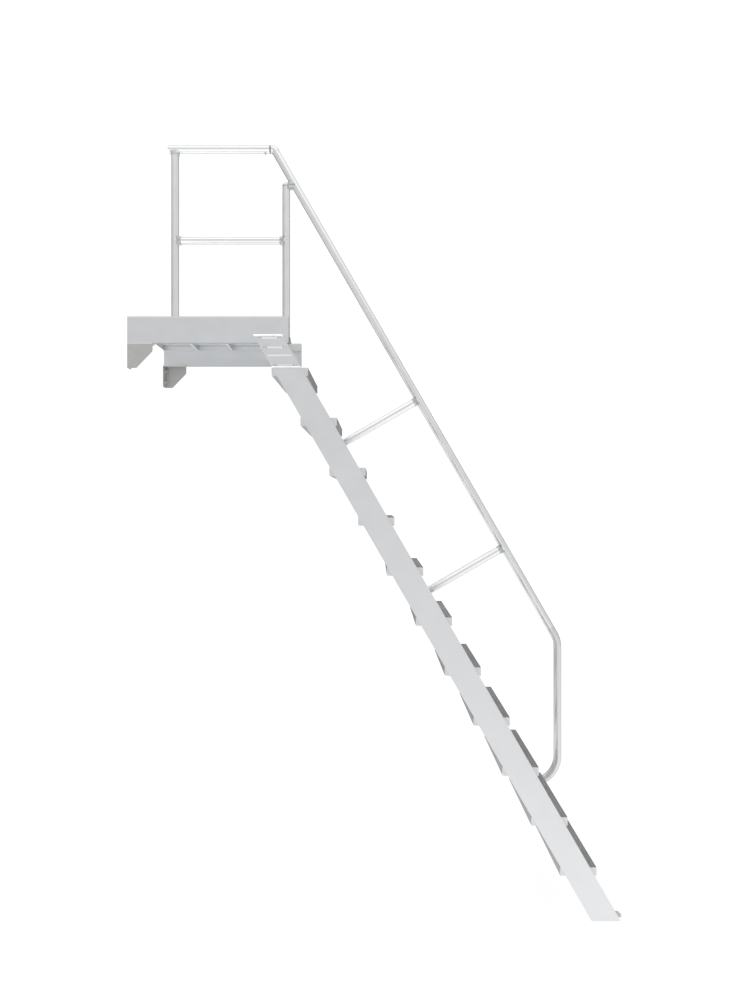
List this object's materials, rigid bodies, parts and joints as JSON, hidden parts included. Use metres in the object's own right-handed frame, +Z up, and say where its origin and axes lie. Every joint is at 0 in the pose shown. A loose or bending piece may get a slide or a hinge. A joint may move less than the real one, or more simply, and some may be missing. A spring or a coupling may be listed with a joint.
{
  "type": "wall-mounted platform stair with handrail",
  "caption": "Steep straight metal stair with hollow stringers and box treads, rising to a small wall-mounted platform with a tubular guard and handrail on one side.",
  "frame": {"origin": "on the wall face of the left wall bracket's flange, midway between its two anchor holes; left is the climber's left", "axes": "+X away from the wall, down the stair; +Y from the climber's left to the handrail side; +Z up"},
  "size_m": [2.3648, 0.6805, 3.996],
  "materials": {
    "extruded_aluminium": "mill-finish extruded aluminium with fine lengthwise die lines",
    "tread_aluminium": "grooved mill-finish extruded aluminium, matt on top",
    "tube_aluminium": "round mill-finish aluminium tube with fine lengthwise lines",
    "cast_fitting": "cast aluminium tube fittings, slightly rough",
    "galvanised_steel": "dull hot-dip galvanised steel"
  },
  "bodies": {
    "root": {"deck_plank_1": "tread_aluminium", "deck_plank_2": "tread_aluminium", "deck_plank_3": "tread_aluminium", "deck_plank_4": "tread_aluminium", "front_guard_post": "tube_aluminium", "front_knee_saddle": "cast_fitting", "front_post_cap": "cast_fitting", "front_post_foot": "cast_fitting", "guard_top_rail": "tube_aluminium", "handrail_return": "tube_aluminium", "knee_rail": "tube_aluminium", "left_floor_bracket": "galvanised_steel", "left_platform_beam": "extruded_aluminium", "left_stair_connector": "extruded_aluminium", "left_stringer": "extruded_aluminium", "left_wall_bracket": "galvanised_steel", "lower_strut": "tube_aluminium", "lower_strut_saddle": "cast_fitting", "post_to_rail_link": "cast_fitting", "rail_elbow": "tube_aluminium", "rail_end_cap": "cast_fitting", "rear_guard_post": "tube_aluminium", "rear_knee_saddle": "cast_fitting", "rear_post_foot": "cast_fitting", "rear_top_saddle": "cast_fitting", "right_floor_bracket": "galvanised_steel", "right_platform_beam": "extruded_aluminium", "right_stair_connector": "extruded_aluminium", "right_stringer": "extruded_aluminium", "right_wall_bracket": "galvanised_steel", "sloped_handrail": "tube_aluminium", "tread_01": "tread_aluminium", "tread_02": "tread_aluminium", "tread_03": "tread_aluminium", "tread_04": "tread_aluminium", "tread_05": "tread_aluminium", "tread_06": "tread_aluminium", "tread_07": "tread_aluminium", "tread_08": "tread_aluminium", "tread_09": "tread_aluminium", "tread_10": "tread_aluminium", "tread_11": "tread_aluminium", "upper_strut": "tube_aluminium", "upper_strut_saddle": "cast_fitting"}
  },
  "joints": []
}
